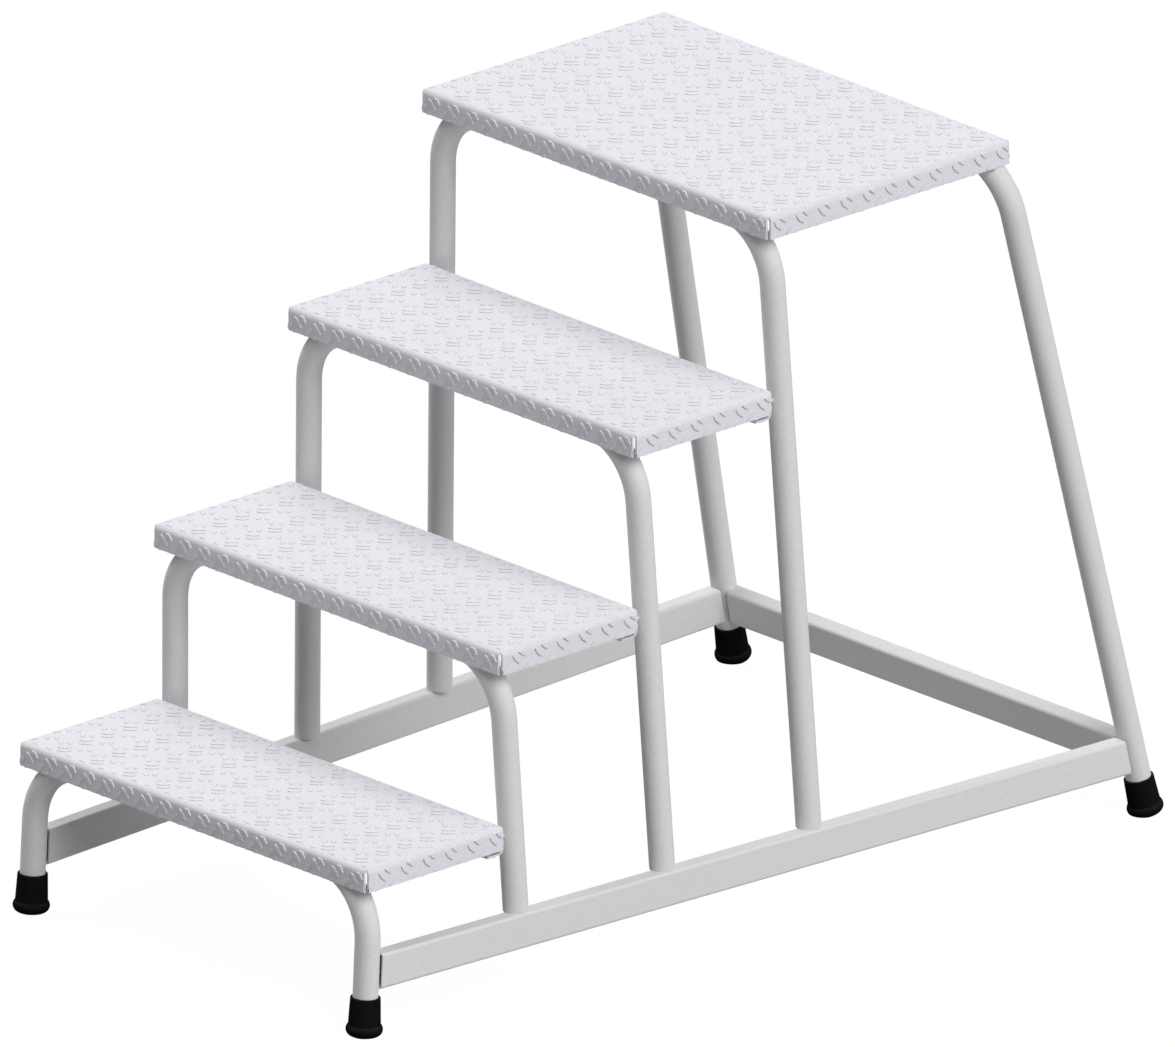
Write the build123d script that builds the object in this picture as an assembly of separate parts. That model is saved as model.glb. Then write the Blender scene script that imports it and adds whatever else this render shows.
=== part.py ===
# Work step with three treads and a platform, in millimetres.
# X runs across the steps, Y along the climb, Z up; the origin is on the floor under the middle.
import os
from math import atan, cos, radians, sin, sqrt, tan

from build123d import *

os.makedirs("parts", exist_ok=True)

# Levels: tops of the treads and of the platform, and their size in plan
STEP_WIDTH = 550.0
PLATFORM_DEPTH = 358.0
FIRST_RISE = 193.5
RISE = 200.0
RUN = 196.3
TREAD_OVERLAP = 8.2
TREADS = 3

# Folded checker plate: sheet, inside fold radius, flange height, corner slots, rear return lip
SHEET = 2.5
FOLD_INSIDE = 4.0
FLANGE = 26.8
FRONT_SLOT = 3.6
TREAD_REAR_SLOT = 4.2
PLATFORM_REAR_SLOT = 5.8
LIP = 23.0
LIP_GAP = 4.3

# Bent tube hoops: section, bend, places of the corners inside or outside the step's sides, leans
TUBE = 28.0
TUBE_WALL = 2.0
TUBE_BEND = 72.0
FRONT_INSET = 12.6
MIDDLE_INSET = 18.1
REAR_OUTSET = 5.0
FRONT_LEAN = -3.03
MIDDLE_LEAN = 2.2
REAR_LEAN = 12.34

# Where the front and rear legs meet the floor, inside or outside the step's sides
FRONT_FOOT_INSET = 12.0
REAR_FOOT_OUTSET = 50.9

# Clearances between the plates, the tubes and what is welded to them
SEAT_GAP = 0.2
NOSE_GAP = 0.7
TAIL_GAP = 4.9
WELD_GAP = 0.2

# Rectangular side and cross rails
RAIL_HEIGHT = 40.0
RAIL_WIDTH = 20.0
RAIL_WALL = 2.0
RAIL_CORNER = 3.5
RAIL_CLEAR = 50.8
LEG_INSET = 5.4

# Rubber feet: bulge at the floor, tapered body, socket for the tube, steel disc in the socket
BULGE = 40.4
BULGE_ROUND = 7.6
BODY = 35.7
MOUTH = 33.0
MOUTH_ROUND = 0.8
FOOT_HEIGHT = 44.0
SOLE = 10.0
SOLE_EXTRA = 6.0
FOOT_FIT = 0.15
DISC = 2.0

# Tabs welded to the hoops' top runs, studs under the plates, washers and hexagon nuts
TAB_WIDTH = 30.0
TAB_START = 6.0
TAB_REACH = 34.0
TAB_SHEET = 3.0
STUD = 6.0
STUD_X = 150.0
STUD_Y = 22.0
STUD_FIT = 0.3
STUD_TAIL = 2.0
WASHER = 12.0
WASHER_SHEET = 1.2
NUT_FLATS = 10.0
NUT_HEIGHT = 5.0
THREAD_FIT = 0.05

# Screws through the rear flanges into rivet nuts in the next hoop's legs
SCREW = 5.0
SCREW_DROP = 14.0
SCREW_REACH = 16.0
SCREW_HEAD = 8.5
SCREW_HEAD_HEIGHT = 2.7
SCREW_FIT = 0.25
SPACER = 9.0
SPACER_FIT = 0.1
RIVET = 7.0
RIVET_LENGTH = 11.0
RIVET_COLLAR = 10.0
RIVET_COLLAR_LENGTH = 5.0
RIVET_FIT = 0.1

# Values that follow from these
TREAD_DEPTH = RUN + TREAD_OVERLAP
FOLD_OUTSIDE = FOLD_INSIDE + SHEET
LIP_HEIGHT = FLANGE + LIP_GAP + SHEET
TUBE_R = TUBE / 2
RAIL_TOP = RAIL_CLEAR + RAIL_HEIGHT
RAIL_MID = RAIL_CLEAR + RAIL_HEIGHT / 2
LEG_END = SOLE + DISC
RING = BULGE / 2 - BULGE_ROUND
LEVELS = [FIRST_RISE + RISE * i for i in range(TREADS + 1)]
SEAT = SHEET + SEAT_GAP + TUBE_R
NOSE = SHEET + NOSE_GAP + TUBE_R
TAIL = SHEET + TAIL_GAP + TUBE_R


def leg_line(y, z, corner_out, foot_out, lean):
    """Right leg of a hoop on feet: its corner at the top, its point on the floor, its direction up."""
    corner = Vector(STEP_WIDTH / 2 + corner_out, y, z)
    floor = Vector(STEP_WIDTH / 2 + foot_out, y + z * tan(radians(lean)), 0)
    return corner, floor, (corner - floor).normalized()


def at_height(point, direction, z):
    """Point of a line at a height."""
    return point + direction * ((z - point.Z) / direction.Z)


def foot_reach(floor, up, way):
    """How far a foot reaches forward (-1) or back (+1) at its bulge."""
    return floor.Y + up.Y * BULGE_ROUND + way * (RING * sqrt(1 - up.Y**2) + BULGE_ROUND)


# The climb is measured from the first tread's front and then centred over the feet
climb = RUN * TREADS + PLATFORM_DEPTH
front_leg = leg_line(NOSE, LEVELS[0] - SEAT, -FRONT_INSET, -FRONT_FOOT_INSET, FRONT_LEAN)
rear_leg = leg_line(climb - TAIL, LEVELS[-1] - SEAT, REAR_OUTSET, REAR_FOOT_OUTSET, REAR_LEAN)
first = -(foot_reach(front_leg[1], front_leg[2], -1) + foot_reach(rear_leg[1], rear_leg[2], 1)) / 2
fronts = [first + RUN * i for i in range(TREADS + 1)]
shift = Vector(0, first, 0)
front_leg = (front_leg[0] + shift, front_leg[1] + shift, front_leg[2])
rear_leg = (rear_leg[0] + shift, rear_leg[1] + shift, rear_leg[2])

# The rails run from leg to leg at the rails' mid height
rail_front = at_height(front_leg[1], front_leg[2], RAIL_MID)
rail_rear = at_height(rear_leg[1], rear_leg[2], RAIL_MID)
rail_slope = (rail_rear.X - rail_front.X) / (rail_rear.Y - rail_front.Y)


def middle_leg(level):
    """Right leg of a hoop that stands on the rail: corner, point on the rail's top, direction up."""
    y = fronts[level] + NOSE
    z = LEVELS[level] - SEAT
    foot_y = y + (z - RAIL_TOP) * tan(radians(MIDDLE_LEAN))
    foot_x = rail_front.X + (foot_y - rail_front.Y) * rail_slope - LEG_INSET
    corner = Vector(STEP_WIDTH / 2 - MIDDLE_INSET, y, z)
    foot = Vector(foot_x, foot_y, RAIL_TOP)
    return corner, foot, (corner - foot).normalized()


middle_legs = {level: middle_leg(level) for level in range(1, TREADS + 1)}


def flip(piece):
    """The same piece on the left-hand side."""
    return mirror(piece, about=Plane.YZ)


def rod(point, direction, radius, length, back=0.0):
    """Round bar from a point along a direction, started back behind the point."""
    start = Plane(point - direction * back, z_dir=direction)
    return extrude(start * Circle(radius), length + back)


def along_z(x, y, top, radius, length):
    """Round bar hanging down from a height."""
    return rod(Vector(x, y, top), Vector(0, 0, -1), radius, length)


def along_y(x, y, z, radius, length):
    """Round bar running back from a point."""
    return rod(Vector(x, y, z), Vector(0, 1, 0), radius, length)


# Folded trays: shells with rounded folds and open slots at the corners
def tray(depth, height, rear_slot):
    """Sheet tray, its front at Y = 0 and its top at Z = 0; a height over the flanges' folds a lip."""
    top = (Align.CENTER, Align.MIN, Align.MAX)
    outer = Box(STEP_WIDTH, depth, height, align=top)
    outer = fillet(outer.edges().group_by(Axis.Z)[-1], FOLD_OUTSIDE)
    inside = Box(STEP_WIDTH - 2 * SHEET, depth - 2 * SHEET, height, align=top)
    inside = Pos(0, SHEET, -SHEET) * inside
    inside = fillet(inside.edges().group_by(Axis.Z)[-1], FOLD_INSIDE)
    if height > FLANGE:
        outer = fillet(outer.edges().group_by(Axis.Z)[0].sort_by(Axis.Y)[-1], FOLD_OUTSIDE)
        inside -= Pos(0, depth / 2, -height) * Box(STEP_WIDTH, depth, 2 * SHEET)
        low_rear = inside.edges().group_by(Axis.Z)[0].sort_by(Axis.Y)[-1]
        inside = fillet(low_rear, FOLD_INSIDE)
    shell = outer - inside
    if height > FLANGE:
        shell -= Pos(0, -LIP, -FLANGE) * Box(2 * STEP_WIDTH, depth, height, align=top)
        beside = Box(2 * rear_slot, depth, height, align=top)
        for side in (-1, 1):
            shell -= Pos(side * STEP_WIDTH / 2, 0, -FLANGE) * beside
    for side in (-1, 1):
        for y, slot in ((0, FRONT_SLOT), (depth, rear_slot)):
            shell -= Pos(side * STEP_WIDTH / 2, y, 0) * Box(2 * slot, 2 * slot, 3 * height)
    return shell


pieces = {}
for level in range(TREADS):
    tread = Pos(0, fronts[level], LEVELS[level]) * tray(TREAD_DEPTH, LIP_HEIGHT, TREAD_REAR_SLOT)
    corner, foot, up = middle_legs[level + 1]
    spot = at_height(foot, up, LEVELS[level] - SCREW_DROP)
    for side in (-1, 1):
        rear = fronts[level] + TREAD_DEPTH - 2 * SHEET
        tread -= along_y(side * spot.X, rear, spot.Z, SCREW / 2 + SCREW_FIT, 3 * SHEET)
    pieces[f"tread_{level + 1}"] = tread
deck = tray(PLATFORM_DEPTH, FLANGE, PLATFORM_REAR_SLOT)
pieces["platform"] = Pos(0, fronts[-1], LEVELS[-1]) * deck


# Hoops: one bent tube each, planar, leaning and splayed so that the legs land where they should
def hoop(corner, end, lean):
    """Hollow tube over a path from the left leg's end to the right leg's end, bent at two corners."""
    tilt = radians(lean)
    plane = Plane(Vector(0, corner.Y, corner.Z), x_dir=(1, 0, 0), z_dir=(0, -cos(tilt), -sin(tilt)))
    drop = (end - corner).length
    reach = end.X - corner.X
    low = -sqrt(drop**2 - reach**2)
    left = [(-end.X, low), (-corner.X, 0)]
    right = [(corner.X, 0), (end.X, low)]
    path = plane * FilletPolyline(*left, *right, radius=TUBE_BEND)
    start = Plane(path @ 0, z_dir=path % 0)
    ring = Circle(TUBE_R) - Circle(TUBE_R - TUBE_WALL)
    return sweep(start * ring, path=path)


corner, floor, up = front_leg
pieces["front_hoop"] = hoop(corner, floor + up * LEG_END, FRONT_LEAN)
corner, floor, up = rear_leg
pieces["rear_hoop"] = hoop(corner, floor + up * LEG_END, REAR_LEAN)

# The middle hoops are cut flat on the rails' tops and have holes for the rivet nuts
middle_names = ["second_hoop", "third_hoop", "platform_hoop"]
for level, name in enumerate(middle_names, start=1):
    corner, foot, up = middle_legs[level]
    tube = hoop(corner, foot - up * TUBE, MIDDLE_LEAN)
    tube = split(tube, bisect_by=Plane((0, 0, RAIL_TOP)), keep=Keep.TOP)
    spot = at_height(foot, up, LEVELS[level - 1] - SCREW_DROP)
    for side in (-1, 1):
        tube -= along_y(side * spot.X, spot.Y - TUBE, spot.Z, RIVET / 2 + RIVET_FIT, TUBE)
    pieces[name] = tube


# Rails: rounded rectangular tube, each end cut along the leg that it is welded to
def rail(start, end, upright, cuts):
    """Hollow rail between two points, cut by planes that touch the legs."""
    way = (end - start).normalized()
    side = way.cross(upright).normalized()
    plane = Plane(start, x_dir=side, z_dir=way)
    wide = RectangleRounded(RAIL_WIDTH, RAIL_HEIGHT, RAIL_CORNER)
    bore = RectangleRounded(
        RAIL_WIDTH - 2 * RAIL_WALL, RAIL_HEIGHT - 2 * RAIL_WALL, RAIL_CORNER - RAIL_WALL
    )
    bar = extrude(plane * (wide - bore), (end - start).length)
    for point, leg_up, inward in cuts:
        normal = (inward - leg_up * inward.dot(leg_up)).normalized()
        face = Plane(point + normal * (TUBE_R + WELD_GAP), z_dir=normal)
        bar = split(bar, bisect_by=face, keep=Keep.TOP)
    return bar


along = (rail_rear - rail_front).normalized()
ends = [(rail_front, front_leg[2], along), (rail_rear, rear_leg[2], along * -1)]
pieces["right_rail"] = rail(rail_front, rail_rear, Vector(0, 0, 1), ends)
pieces["left_rail"] = flip(pieces["right_rail"])

# The cross rail lies in the rear hoop's plane, its mid height at the side rails' mid height
tilt = radians(REAR_LEAN)
rear_left = Vector(-rail_rear.X, rail_rear.Y, rail_rear.Z)
rear_left_up = Vector(-rear_leg[2].X, rear_leg[2].Y, rear_leg[2].Z)
ends = [(rail_rear, rear_leg[2], Vector(-1, 0, 0)), (rear_left, rear_left_up, Vector(1, 0, 0))]
lean_up = Vector(0, -sin(tilt), cos(tilt))
pieces["rear_cross_rail"] = rail(rear_left, rail_rear, lean_up, ends)


# Rubber feet: turned round the leg's line and cut flat on the floor
def foot_pair(floor, up):
    """Foot and its steel disc for the right leg of a hoop."""
    rise = BULGE_ROUND + sqrt(BULGE_ROUND**2 - (BODY / 2 - RING) ** 2)
    middle = (atan((rise - BULGE_ROUND) / (BODY / 2 - RING)) - radians(90)) / 2
    bore = TUBE_R + FOOT_FIT
    halfway = (RING + BULGE_ROUND * cos(middle), BULGE_ROUND + BULGE_ROUND * sin(middle))
    lines = [
        Polyline((0, SOLE), (0, -SOLE_EXTRA), (RING, -SOLE_EXTRA), (RING, 0)),
        ThreePointArc((RING, 0), halfway, (BODY / 2, rise)),
        Polyline((BODY / 2, rise), (MOUTH / 2, FOOT_HEIGHT - MOUTH_ROUND)),
        Polyline((MOUTH / 2, FOOT_HEIGHT - MOUTH_ROUND), (MOUTH / 2 - MOUTH_ROUND, FOOT_HEIGHT)),
        Polyline((MOUTH / 2 - MOUTH_ROUND, FOOT_HEIGHT), (bore, FOOT_HEIGHT), (bore, SOLE), (0, SOLE)),
    ]
    turned = revolve(Plane.XZ * make_face(Curve() + lines), axis=Axis.Z)
    stand = Plane(floor, z_dir=up)
    rubber = split(stand * turned, bisect_by=Plane((0, 0, 0)), keep=Keep.TOP)
    return rubber, rod(floor + up * SOLE, up, TUBE_R, DISC)


for place, leg in (("front", front_leg), ("rear", rear_leg)):
    rubber, disc = foot_pair(leg[1], leg[2])
    pieces[f"foot_{place}_right"] = rubber
    pieces[f"foot_{place}_left"] = flip(rubber)
    pieces[f"foot_disc_{place}_right"] = disc
    pieces[f"foot_disc_{place}_left"] = flip(disc)

# Tabs behind the hoops' top runs, with the plates' studs, washers and nuts
tabs = []
studs = []
washers = []
nuts = []
seats = [(y + NOSE, z, 1) for y, z in zip(fronts, LEVELS)]
seats.append((rear_leg[0].Y, LEVELS[-1], -1))
for y, z, way in seats:
    axis_z = z - SEAT
    top = axis_z + TUBE_R
    tube = rod(Vector(-STEP_WIDTH / 2, y, axis_z), Vector(1, 0, 0), TUBE_R + WELD_GAP, STEP_WIDTH)
    middle = y + way * (TAB_START + TAB_REACH) / 2
    spot = y + way * STUD_Y
    for x in (-STUD_X, STUD_X):
        plate = Box(TAB_WIDTH, TAB_REACH - TAB_START, TAB_SHEET)
        plate = Pos(x, middle, top - TAB_SHEET / 2) * plate
        hole = along_z(x, spot, z, STUD / 2 + STUD_FIT, TUBE)
        tabs.append(plate - tube - hole)
        under = z - SHEET
        washer_top = top - TAB_SHEET
        nut_top = washer_top - WASHER_SHEET
        studs.append(along_z(x, spot, under, STUD / 2, under - nut_top + NUT_HEIGHT + STUD_TAIL))
        washers.append(along_z(x, spot, washer_top, WASHER / 2, WASHER_SHEET) - hole)
        flats = Pos(x, spot, nut_top) * RegularPolygon(NUT_FLATS / 2, 6, major_radius=False)
        thread = along_z(x, spot, z, STUD / 2 + THREAD_FIT, TUBE)
        nuts.append(extrude(flats, -NUT_HEIGHT) - thread)

# Screws in the rear flanges: spacers against the legs, rivet nuts in the legs' front walls
screws = []
spacers = []
rivets = []
for level in range(TREADS):
    corner, foot, up = middle_legs[level + 1]
    spot = at_height(foot, up, LEVELS[level] - SCREW_DROP)
    flange = fronts[level] + TREAD_DEPTH
    face = spot.Y - TUBE_R * sqrt(1 + (up.Y / up.Z) ** 2)
    leg = rod(spot, up, TUBE_R, TUBE, back=TUBE)
    hollow = rod(spot, up, TUBE_R - TUBE_WALL, TUBE, back=TUBE)
    shank = along_y(spot.X, flange - SHEET, spot.Z, SCREW / 2, SCREW_REACH)
    head = along_y(spot.X, flange - SHEET - SCREW_HEAD_HEIGHT, spot.Z, SCREW_HEAD / 2, SCREW_HEAD_HEIGHT)
    block = along_y(spot.X, flange, spot.Z, SPACER / 2, TUBE_R)
    bore = along_y(spot.X, flange - SHEET, spot.Z, SCREW / 2 + SCREW_FIT, TUBE)
    spacer = block - leg - bore - along_y(spot.X, face, spot.Z, RIVET / 2 + SPACER_FIT, TUBE)
    sleeve = along_y(spot.X, face, spot.Z, RIVET / 2, RIVET_LENGTH)
    collar = along_y(spot.X, face, spot.Z, RIVET_COLLAR / 2, RIVET_COLLAR_LENGTH) & hollow
    thread = along_y(spot.X, face - TUBE_R, spot.Z, SCREW / 2 + THREAD_FIT, 2 * TUBE)
    for turn in (lambda piece: piece, flip):
        screws.append(turn(head + shank))
        spacers.append(turn(spacer))
        rivets.append(turn(sleeve + collar - thread))

groups = {
    "tread_tabs": tabs,
    "tread_studs": studs,
    "stud_washers": washers,
    "stud_nuts": nuts,
    "rear_screws": screws,
    "rear_spacers": spacers,
    "rivet_nuts": rivets,
}
for name, solids in groups.items():
    pieces[name] = Compound([solid for item in solids for solid in item.solids()])

# One file for each piece
for name, piece in pieces.items():
    export_step(piece, f"parts/{name}.step")
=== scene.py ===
import math

import bpy
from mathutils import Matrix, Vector


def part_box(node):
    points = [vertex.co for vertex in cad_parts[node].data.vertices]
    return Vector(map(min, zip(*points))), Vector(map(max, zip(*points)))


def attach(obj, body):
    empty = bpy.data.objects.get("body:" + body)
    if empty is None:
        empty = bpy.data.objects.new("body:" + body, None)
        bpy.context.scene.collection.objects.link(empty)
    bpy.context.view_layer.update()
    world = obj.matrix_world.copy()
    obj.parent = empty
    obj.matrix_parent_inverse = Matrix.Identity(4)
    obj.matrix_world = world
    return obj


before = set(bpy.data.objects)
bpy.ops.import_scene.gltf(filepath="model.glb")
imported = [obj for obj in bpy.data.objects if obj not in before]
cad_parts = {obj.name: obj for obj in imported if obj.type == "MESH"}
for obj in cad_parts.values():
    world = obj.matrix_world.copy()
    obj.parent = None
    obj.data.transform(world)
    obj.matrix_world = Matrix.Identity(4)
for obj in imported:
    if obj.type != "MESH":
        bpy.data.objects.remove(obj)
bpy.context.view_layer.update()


# Frame: bent hoops, side rails, cross rail and the tabs under the plates are welded steel tube
# and flat bar. They are powder coated together, in a light neutral grey with a fine, grainy peel.
class Wire:
    """A node's output; arithmetic on wires adds Math nodes to the same tree."""

    def __init__(self, tree, socket):
        self.tree = tree
        self.socket = socket

    @staticmethod
    def node(tree, kind, settings=None, sockets=None, out=0):
        """New node: its settings, then values or wires for its sockets; gives its output or outputs."""
        made = tree.nodes.new(kind)
        for key, value in (settings or {}).items():
            setattr(made, key, value)
        for key, value in (sockets or {}).items():
            for item in value if isinstance(value, list) else [value]:
                if isinstance(item, Wire):
                    tree.links.new(item.socket, made.inputs[key])
                else:
                    made.inputs[key].default_value = item
        if isinstance(out, list):
            return [Wire(tree, made.outputs[name]) for name in out]
        return Wire(tree, made.outputs[out]) if made.outputs else None

    def calc(self, operation, *values):
        """Math node on wires and numbers."""
        return Wire.node(self.tree, "ShaderNodeMath", {"operation": operation}, dict(enumerate(values)))

    def __add__(self, other):
        return self.calc("ADD", self, other)

    def __radd__(self, other):
        return self.calc("ADD", other, self)

    def __sub__(self, other):
        return self.calc("SUBTRACT", self, other)

    def __rsub__(self, other):
        return self.calc("SUBTRACT", other, self)

    def __mul__(self, other):
        return self.calc("MULTIPLY", self, other)

    def __rmul__(self, other):
        return self.calc("MULTIPLY", other, self)

    def __pow__(self, other):
        return self.calc("POWER", self, other)

    def __rpow__(self, other):
        return self.calc("POWER", other, self)

    def __abs__(self):
        return self.calc("ABSOLUTE", self)


def new_finish(name):
    """A material and its empty node tree."""
    material = bpy.data.materials.new(name)
    material.use_nodes = True
    material.node_tree.nodes.clear()
    return material, material.node_tree


def noise(tree, waves, detail=2.0, roughness=0.5):
    """Noise from 0 to 1, with a number of waves to the metre, fixed to the object."""
    place = Wire.node(tree, "ShaderNodeTexCoord", out="Object")
    sockets = {"Vector": place, "Scale": waves, "Detail": detail, "Roughness": roughness}
    return Wire.node(tree, "ShaderNodeTexNoise", None, sockets, "Fac")


def between(low, high, amount):
    """Value that goes from low to high as the amount goes from 0 to 1."""
    return low + (high - low) * amount


def mixed(tree, amount, first, second, blend="MIX"):
    """Colour mixed from two; the sockets are numbered, because their names repeat on this node."""
    factor, colour_a, colour_b, result = 0, 6, 7, 2
    settings = {"data_type": "RGBA", "clamp_factor": True, "blend_type": blend}
    sockets = {factor: amount, colour_a: first, colour_b: second}
    return Wire.node(tree, "ShaderNodeMix", settings, sockets, result)


def relief(tree, height, strength, depth):
    """Normal of a surface with a fine relief, its depth in metres."""
    sockets = {"Strength": strength, "Distance": depth, "Height": height}
    return Wire.node(tree, "ShaderNodeBump", None, sockets)


def close_finish(tree, sockets):
    """Principled surface with these sockets, wired to the output."""
    surface = Wire.node(tree, "ShaderNodeBsdfPrincipled", None, sockets)
    Wire.node(tree, "ShaderNodeOutputMaterial", None, {"Surface": surface})


def coat(material, node_names):
    """Gives CAD nodes one material."""
    for name in node_names:
        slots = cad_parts[name].data.materials
        slots.clear()
        slots.append(material)


coat_grey = (0.840, 0.840, 0.840, 1)
coat_shade = (0.687, 0.687, 0.688, 1)
coat_roughness = 0.46, 0.56
cloud_share = 0.1
speck_share = 0.3
powder_coat, tree = new_finish("powder_coat")
cloud = noise(tree, waves=9.0, detail=3.0)
peel = noise(tree, waves=480.0)
speck = noise(tree, waves=1500.0, detail=1.0)
close_finish(tree, {
    "Base Color": mixed(tree, peel + cloud_share * (cloud - 0.5), coat_grey, coat_shade),
    "Roughness": between(*coat_roughness, cloud),
    "Normal": relief(tree, peel + speck_share * speck, strength=0.10, depth=0.0004),
    "Specular IOR Level": 0.10,
})
hoops = ["front_hoop", "second_hoop", "third_hoop", "platform_hoop", "rear_hoop"]
coat(powder_coat, [*hoops, "left_rail", "right_rail", "rear_cross_rail", "tread_tabs"])


# Feet: black rubber ferrules pushed over the ends of the four outer legs, moulded with a bulge
# at the floor. The rubber is matt, with a fine grain and grey dust in blotches, and is painted lighter
# where it faces up: part dust, part painted highlight.
rubber_black = (0.0064, 0.0064, 0.0066, 1)
rubber_dust_and_highlight = (0.0200, 0.0200, 0.0203, 1)
rubber_roughness = 0.70, 0.88
dust_and_highlight_on_top = 0.9
dust_in_bloom = 0.4
bare_rubber = 0.1
rubber, tree = new_finish("foot_rubber")
bloom = noise(tree, waves=60.0, detail=4.0, roughness=0.6)
grain = noise(tree, waves=1400.0)
facing = Wire.node(tree, "ShaderNodeNewGeometry", out="Normal")
upward = Wire.node(tree, "ShaderNodeSeparateXYZ", None, {"Vector": facing}, "Z")
# Lighter where the rubber faces up, part dust and part painted highlight; the blotches are dust.
dust_and_highlight = dust_and_highlight_on_top * upward + dust_in_bloom * bloom - bare_rubber
close_finish(tree, {
    "Base Color": mixed(tree, dust_and_highlight, rubber_black, rubber_dust_and_highlight),
    "Roughness": between(*rubber_roughness, bloom),
    "Normal": relief(tree, grain, strength=0.25, depth=0.0003),
    "Specular IOR Level": 0.0,
})
feet = [f"foot_{end}_{side}" for end in ("front", "rear") for side in ("left", "right")]
coat(rubber, feet)


# Treads and platform: trays folded from checker plate, pale with a faint violet tint.
# The plate's raised bars stand in pairs at right angles to each other on every outer face.
plate_pale = (0.944, 0.916, 0.981, 1)
plate_shade = (0.684, 0.664, 0.711, 1)
plate_roughness = 0.50, 0.62
# Painted shade on the bars' sides: this grey multiplies the plate's colour there.
painted_side_shade = (0.64, 0.64, 0.64, 1)
checker_plate, tree = new_finish("checker_plate")
cloud = noise(tree, waves=14.0, detail=3.0)
mill = noise(tree, waves=600.0)
plate = mixed(tree, mill + cloud_share * (cloud - 0.5), plate_pale, plate_shade)
bar_side = Wire.node(tree, "ShaderNodeAttribute", {"attribute_name": "bar_side"}, out="Fac")
close_finish(tree, {
    "Base Color": mixed(tree, bar_side, plate, painted_side_shade, blend="MULTIPLY"),
    "Roughness": between(*plate_roughness, mill),
    "Normal": relief(tree, mill, strength=0.12, depth=0.0004),
    "Specular IOR Level": 0.08,
})
treads = ["tread_1", "tread_2", "tread_3"]
coat(checker_plate, [*treads, "platform"])


def bar_rows():
    """Geometry nodes: rows of paired lens-shaped bars, cut to a face's flat and set on that face."""
    tree = bpy.data.node_groups.new("checker_bars", "GeometryNodeTree")
    tree.interface.new_socket("Geometry", in_out="OUTPUT", socket_type="NodeSocketGeometry")
    kinds = {
        "Geometry": "Geometry", "Material": "Material",
        "Columns": "Int", "Rows": "Int", "Pitch X": "Float", "Pitch Y": "Float",
        "First Pair": "Vector", "Angle": "Float", "Pair Gap": "Float",
        "Length": "Float", "Width": "Float", "Height": "Float", "Bury": "Float", "Side Shade": "Float",
        "Flat Middle": "Vector", "Flat Size": "Vector", "Face Turn": "Rotation", "Face Place": "Vector",
    }
    for name, kind in kinds.items():
        tree.interface.new_socket(name, in_out="INPUT", socket_type="NodeSocket" + kind)
    ins = dict(zip(kinds, Wire.node(tree, "NodeGroupInput", out=list(kinds))))

    def vector(x=0.0, y=0.0, z=0.0):
        """Vector of wires or numbers."""
        return Wire.node(tree, "ShaderNodeCombineXYZ", None, {"X": x, "Y": y, "Z": z})

    def moved(geometry, **how):
        """Geometry after a Translation, a Rotation or both."""
        return Wire.node(tree, "GeometryNodeTransform", None, {"Geometry": geometry, **how})

    # One bar: a drum drawn out to a lens with rounded tips, upright sides and a flat top
    drum_sides = 20
    tip_power = 0.6
    drum = {"Vertices": drum_sides, "Radius": 1.0, "Depth": ins["Height"] + ins["Bury"]}
    bar, side = Wire.node(tree, "GeometryNodeMeshCylinder", {"fill_type": "NGON"}, drum, ["Mesh", "Side"])
    place = Wire.node(tree, "GeometryNodeInputPosition")
    x, y, z = Wire.node(tree, "ShaderNodeSeparateXYZ", None, {"Vector": place}, ["X", "Y", "Z"])
    long = x * abs(x) ** tip_power * ins["Length"] * 0.5
    wide = y * ins["Width"] * 0.5
    high = z + (ins["Height"] - ins["Bury"]) * 0.5
    lens = {"Geometry": bar, "Position": vector(long, wide, high)}
    bar = Wire.node(tree, "GeometryNodeSetPosition", None, lens)
    # The bars' sides are marked with the strength of a painted shade, which the plate's material darkens
    # them by.
    on_faces = {"data_type": "FLOAT", "domain": "FACE"}
    mark = {"Geometry": bar, "Name": "bar_side", "Value": side * ins["Side Shade"]}
    bar = Wire.node(tree, "GeometryNodeStoreNamedAttribute", on_faces, mark)

    # A pair of bars, on a grid of places
    aside = ins["Pair Gap"] * 0.5
    both = [moved(bar, Translation=vector(y=shift)) for shift in (aside, 0 - aside)]
    pair = Wire.node(tree, "GeometryNodeJoinGeometry", None, {"Geometry": both})
    turn = Wire.node(tree, "FunctionNodeEulerToRotation", None, {"Euler": vector(z=ins["Angle"])})
    pair = moved(pair, Rotation=turn)
    across = (ins["Columns"] - 1.0) * ins["Pitch X"]
    down = (ins["Rows"] - 1.0) * ins["Pitch Y"]
    sizes = {"Size X": across, "Size Y": down, "Vertices X": ins["Columns"], "Vertices Y": ins["Rows"]}
    grid = Wire.node(tree, "GeometryNodeMeshGrid", None, sizes)
    grid = moved(grid, Translation=vector(across * 0.5, down * 0.5))
    grid = moved(grid, Translation=ins["First Pair"])
    bars = Wire.node(tree, "GeometryNodeInstanceOnPoints", None, {"Points": grid, "Instance": pair})
    bars = Wire.node(tree, "GeometryNodeRealizeInstances", None, {"Geometry": bars})

    # Cut at the folds and edges of the face, set on it, and joined to the faces before it
    block = Wire.node(tree, "GeometryNodeMeshCube", None, {"Size": ins["Flat Size"]})
    block = moved(block, Translation=ins["Flat Middle"])
    inside = {"operation": "INTERSECT", "solver": "MANIFOLD"}
    bars = Wire.node(tree, "GeometryNodeMeshBoolean", inside, {"Mesh 2": [bars, block]}, "Mesh")
    bars = moved(bars, Translation=ins["Face Place"], Rotation=ins["Face Turn"])
    shown = Wire.node(tree, "GeometryNodeJoinGeometry", None, {"Geometry": [ins["Geometry"], bars]})
    shown = Wire.node(tree, "GeometryNodeRealizeInstances", None, {"Geometry": shown})
    finish = {"Geometry": shown, "Material": ins["Material"]}
    shown = Wire.node(tree, "GeometryNodeSetMaterial", None, finish)
    Wire.node(tree, "NodeGroupOutput", None, {"Geometry": shown})
    return tree


checker_bars = bar_rows()
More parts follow.
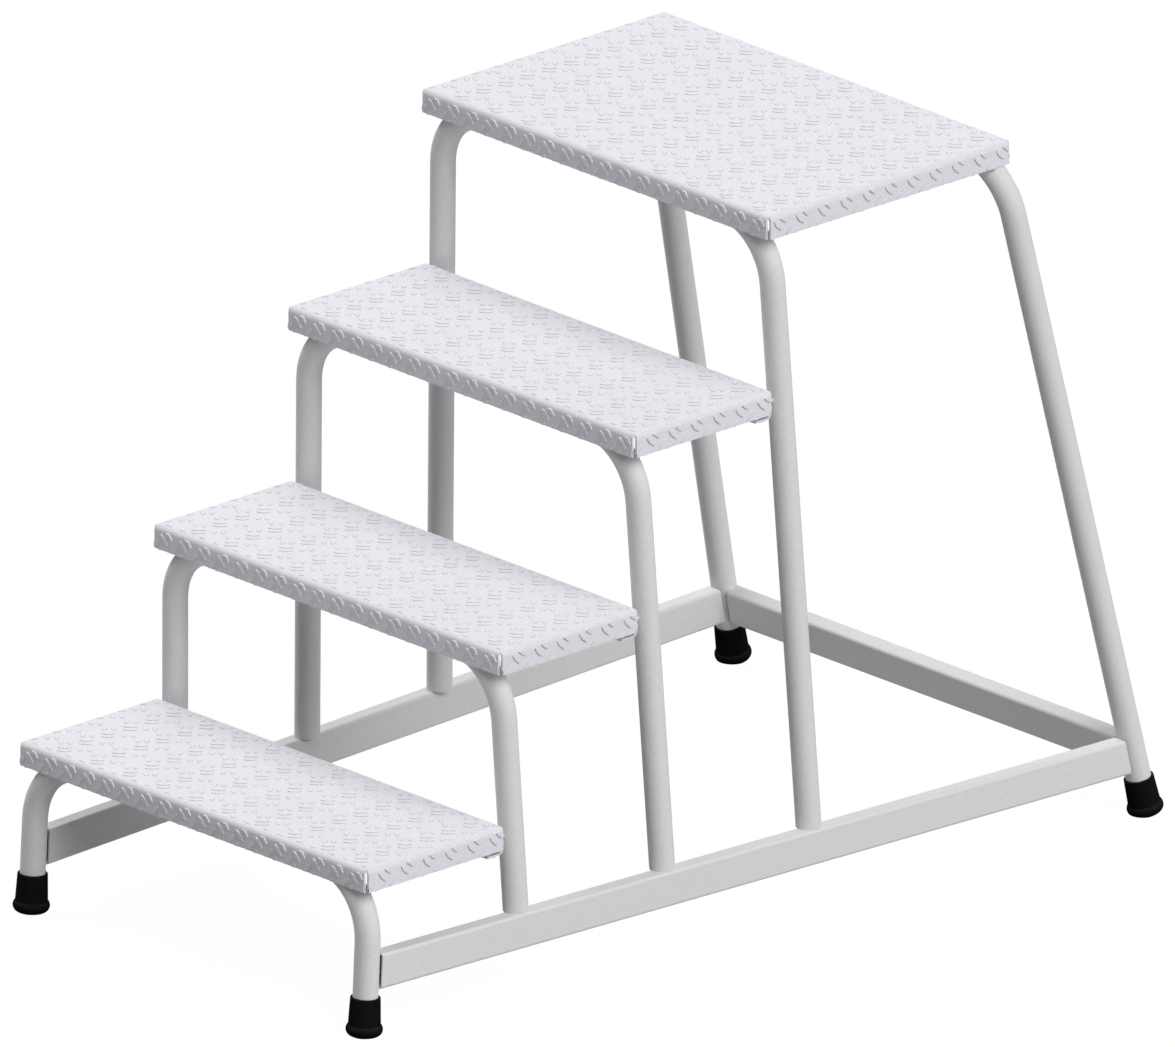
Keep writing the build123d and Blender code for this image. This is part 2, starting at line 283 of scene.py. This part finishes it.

# Bars of the tops, and of the upper and the lower rows on the flanges, each with a painted shade on its
# sides
top_bar = {"Length": 0.0152, "Width": 0.0060, "Height": 0.0008, "Pair Gap": 0.0099, "Bury": 0.0008}
side_bar = {**top_bar, "Length": 0.0149, "Width": 0.0042, "Height": 0.0016, "Side Shade": 0.12}
low_bar = {**side_bar, "Height": 0.0010, "Side Shade": 0.15}
lean = math.radians(45)
quarter = math.pi / 2

# The trays' folds, flanges, lips and slots, as in the solids, and where the flanges' bars begin
fold = 0.0065
fold_end = 0.0053
flange = 0.0268
lip = 0.023
front_slot = 0.0036


def bar_face(piece, turn, place, flat, first, pitch, angle, bar):
    """Adds rows of pairs to a piece: on one face, in that face's own X and Y, cut to its flat."""
    cut_under = 0.001
    cut_over = 0.007
    low, high = flat
    start = [first[i] - pitch[i] * math.ceil((first[i] - low[i]) / pitch[i] + 0.5) for i in (0, 1)]
    counts = [math.ceil((high[i] - start[i]) / pitch[i] + 0.5) + 1 for i in (0, 1)]
    values = {
        "Columns": counts[0], "Rows": counts[1], "Pitch X": pitch[0], "Pitch Y": pitch[1],
        "First Pair": (*start, 0.0), "Angle": angle, "Material": checker_plate,
        "Flat Middle": (*[(high[i] + low[i]) / 2 for i in (0, 1)], (cut_over - cut_under) / 2),
        "Flat Size": (*[high[i] - low[i] for i in (0, 1)], cut_over + cut_under),
        "Face Turn": turn, "Face Place": place, **bar,
    }
    rows = piece.modifiers.new("bars", "NODES")
    rows.node_group = checker_bars
    for item in checker_bars.interface.items_tree:
        if item.in_out == "INPUT" and item.name in values:
            rows[item.identifier] = values[item.name]


def checker_piece(node, first_pair_y, side_pair_y, rear_slot, has_lip):
    """All the raised bars of one tray, as one mesh."""
    low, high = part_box(node)
    half = high.x
    depth = high.y - low.y
    level = high.z
    piece = bpy.data.objects.new(node + "_bars", bpy.data.meshes.new(node + "_bars"))
    bpy.context.scene.collection.objects.link(piece)

    # Top: pairs leaning one way on a lattice, and two leaning the other way between them. Each kind
    # has its shift from the lattice's first pair, its angle and the strength of the painted shade on its
    # bars' sides.
    lattice = (0.05209, 0.0320)
    first_pair_x = -0.2220
    flat = (-half + fold, fold), (half - fold, depth - fold)
    for (shift_x, shift_y), angle, shade in (
        ((0.0, 0.0), lean, 0.62),
        ((-0.0153, 0.0162), -lean, 0.32),
        ((0.0149, 0.0165), -lean, 0.32),
    ):
        first = first_pair_x + shift_x, first_pair_y + shift_y
        bar = {**top_bar, "Side Shade": shade}
        bar_face(piece, (0, 0, 0), (0.0, low.y, level), flat, first, lattice, angle, bar)

    # Flanges: an upper row of pairs leaning one way, and a lower row leaning the other way, which
    # the edge of the flange cuts through. A pitch of a metre downwards leaves one row on the face.
    one_row = 1.0
    lower_shift = 0.01734
    rear_foot = level - low.z - fold if has_lip else flange
    front_ends = -half + front_slot, half - front_slot
    rear_ends = -half + rear_slot, half - rear_slot
    across = {"pitch": (0.03015, one_row), "upper": (-0.25205, -0.0102), "lower": (-0.23683, -0.0250)}
    along = {
        "pitch": (0.03258, one_row),
        "upper": (side_pair_y, -0.0092),
        "lower": (side_pair_y + lower_shift, -0.0238),
    }
    for turn, place, (start, end), foot, rows in (
        (0, (0.0, low.y, level), front_ends, flange, across),
        (quarter, (half, low.y, level), (front_slot, depth - rear_slot), flange, along),
        (-quarter, (-half, high.y, level), (rear_slot, depth - front_slot), flange, along),
        (2 * quarter, (0.0, high.y, level), rear_ends, rear_foot, across),
    ):
        upright = (quarter, 0, turn)
        flat = (start, -foot), (end, -fold_end)
        bar_face(piece, upright, place, flat, rows["upper"], rows["pitch"], -lean, side_bar)
        bar_face(piece, upright, place, flat, rows["lower"], rows["pitch"], lean, low_bar)

    # Lip: its underside carries one more row
    if has_lip:
        lip_row = (-0.2522, 0.012)
        upside_down = (2 * quarter, 0, 0)
        flat = (rear_ends[0], fold), (rear_ends[1], lip)
        under = (0.0, high.y, low.z)
        bar_face(piece, upside_down, under, flat, lip_row, across["pitch"], -lean, side_bar)

    sharp = math.radians(30)
    bpy.context.view_layer.update()
    made = bpy.data.meshes.new_from_object(piece.evaluated_get(bpy.context.evaluated_depsgraph_get()))
    piece.modifiers.clear()
    piece.data = made
    made.shade_smooth()
    made.set_sharp_from_angle(angle=sharp)
    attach(piece, "root")


for node in treads:
    checker_piece(node, first_pair_y=0.0186, side_pair_y=0.02685, rear_slot=0.0042, has_lip=True)
checker_piece("platform", first_pair_y=0.0119, side_pair_y=0.01705, rear_slot=0.0058, has_lip=False)


# Fasteners: zinc plated studs, nuts and washers under the plates, screws, spacers and rivet nuts
# at the rear flanges, and the steel discs inside the feet.
zinc_light = (0.66, 0.67, 0.69, 1)
zinc_dull = (0.50, 0.51, 0.53, 1)
zinc_roughness = 0.30, 0.50
dull_share = -0.2, 1.2
zinc, tree = new_finish("zinc_plate")
spangle = noise(tree, waves=260.0, detail=3.0)
close_finish(tree, {
    "Base Color": mixed(tree, between(*dull_share, spangle), zinc_light, zinc_dull),
    "Roughness": between(*zinc_roughness, spangle),
    "Metallic": 0.9,
})
discs = [f"foot_disc_{end}_{side}" for end in ("front", "rear") for side in ("left", "right")]
small = ["tread_studs", "stud_washers", "stud_nuts", "rear_screws", "rear_spacers", "rivet_nuts"]
coat(zinc, [*discs, *small])


# Studio: a plain white floor and white surroundings, a large soft light from the right and one
# from the left, and two weak low ones from behind. Seen from below, the floor is clear, so that
# the underside shows. The camera sees in parallel, as the photo does.
white = (1, 1, 1, 1)
floor_grey = (0.34, 0.34, 0.34, 1)
floor_reach = 12.0
glow_strength = 1.13
glow_share = 0.86


def seen_rays(tree):
    """1 for a ray that shows the background: to the camera, in a reflection or through glass."""
    rays = ["Is Camera Ray", "Is Glossy Ray", "Is Transmission Ray"]
    camera, glossy, through = Wire.node(tree, "ShaderNodeLightPath", out=rays)
    return camera + glossy + through


white_floor, tree = new_finish("white_floor")
lit = Wire.node(tree, "ShaderNodeBsdfDiffuse", None, {"Color": floor_grey})
glow = Wire.node(tree, "ShaderNodeEmission", None, {"Color": white, "Strength": glow_strength})
above = Wire.node(tree, "ShaderNodeMixShader", None, {0: seen_rays(tree) * glow_share, 1: lit, 2: glow})
below = Wire.node(tree, "ShaderNodeNewGeometry", out="Backfacing")
clear = Wire.node(tree, "ShaderNodeBsdfTransparent")
surface = Wire.node(tree, "ShaderNodeMixShader", None, {0: below, 1: above, 2: clear})
Wire.node(tree, "ShaderNodeOutputMaterial", None, {"Surface": surface})
floor_mesh = bpy.data.meshes.new("floor")
corners = [(x * floor_reach, y * floor_reach, 0) for x, y in ((-1, -1), (1, -1), (1, 1), (-1, 1))]
floor_mesh.from_pydata(corners, [], [(0, 1, 2, 3)])
floor_mesh.materials.append(white_floor)
floor = bpy.data.objects.new("floor", floor_mesh)
bpy.context.scene.collection.objects.link(floor)

air_light = 0.102
world = bpy.data.worlds.new("studio")
world.use_nodes = True
tree = world.node_tree
tree.nodes.clear()
dim = Wire.node(tree, "ShaderNodeBackground", None, {"Color": white, "Strength": air_light})
bright = Wire.node(tree, "ShaderNodeBackground", None, {"Color": white, "Strength": 1.0})
air = Wire.node(tree, "ShaderNodeMixShader", None, {0: seen_rays(tree), 1: dim, 2: bright})
Wire.node(tree, "ShaderNodeOutputWorld", None, {"Surface": air})
bpy.context.scene.world = world

# Each lamp has the way towards it, and the brightness that it gives a white face turned to it
lamp_spread = math.radians(42)
for name, way, brightness in (
    ("right_softbox", (0.735, -0.090, 0.672), 0.672),
    ("left_softbox", (-0.698, -0.111, 0.707), 0.499),
    ("right_rear_fill", (0.840, 0.485, 0.242), 0.140),
    ("left_rear_fill", (-0.840, 0.485, 0.242), 0.171),
):
    lamp = bpy.data.lights.new(name, "SUN")
    lamp.angle = lamp_spread
    lamp.energy = math.pi * brightness
    light = bpy.data.objects.new(name, lamp)
    light.rotation_mode = "QUATERNION"
    light.rotation_quaternion = Vector(way).to_track_quat("Z", "Y")
    bpy.context.scene.collection.objects.link(light)

# View measured in the photo: azimuth, elevation, width of the picture, and the point at its middle
azimuth = math.radians(47.170)
elevation = math.radians(20.218)
picture_width = 1.26195
aim = Vector((0.0, 0.02813, 0.37166))
camera_distance = 6.0
back = Vector((
    math.sin(azimuth) * math.cos(elevation),
    -math.cos(azimuth) * math.cos(elevation),
    math.sin(elevation),
))
view = bpy.data.cameras.new("camera")
view.type = "ORTHO"
view.ortho_scale = picture_width
camera = bpy.data.objects.new("camera", view)
camera.location = aim + back * camera_distance
camera.rotation_mode = "QUATERNION"
camera.rotation_quaternion = (-back).to_track_quat("-Z", "Y")
bpy.context.scene.collection.objects.link(camera)
bpy.context.scene.camera = camera
bpy.context.scene.view_settings.view_transform = "Standard"
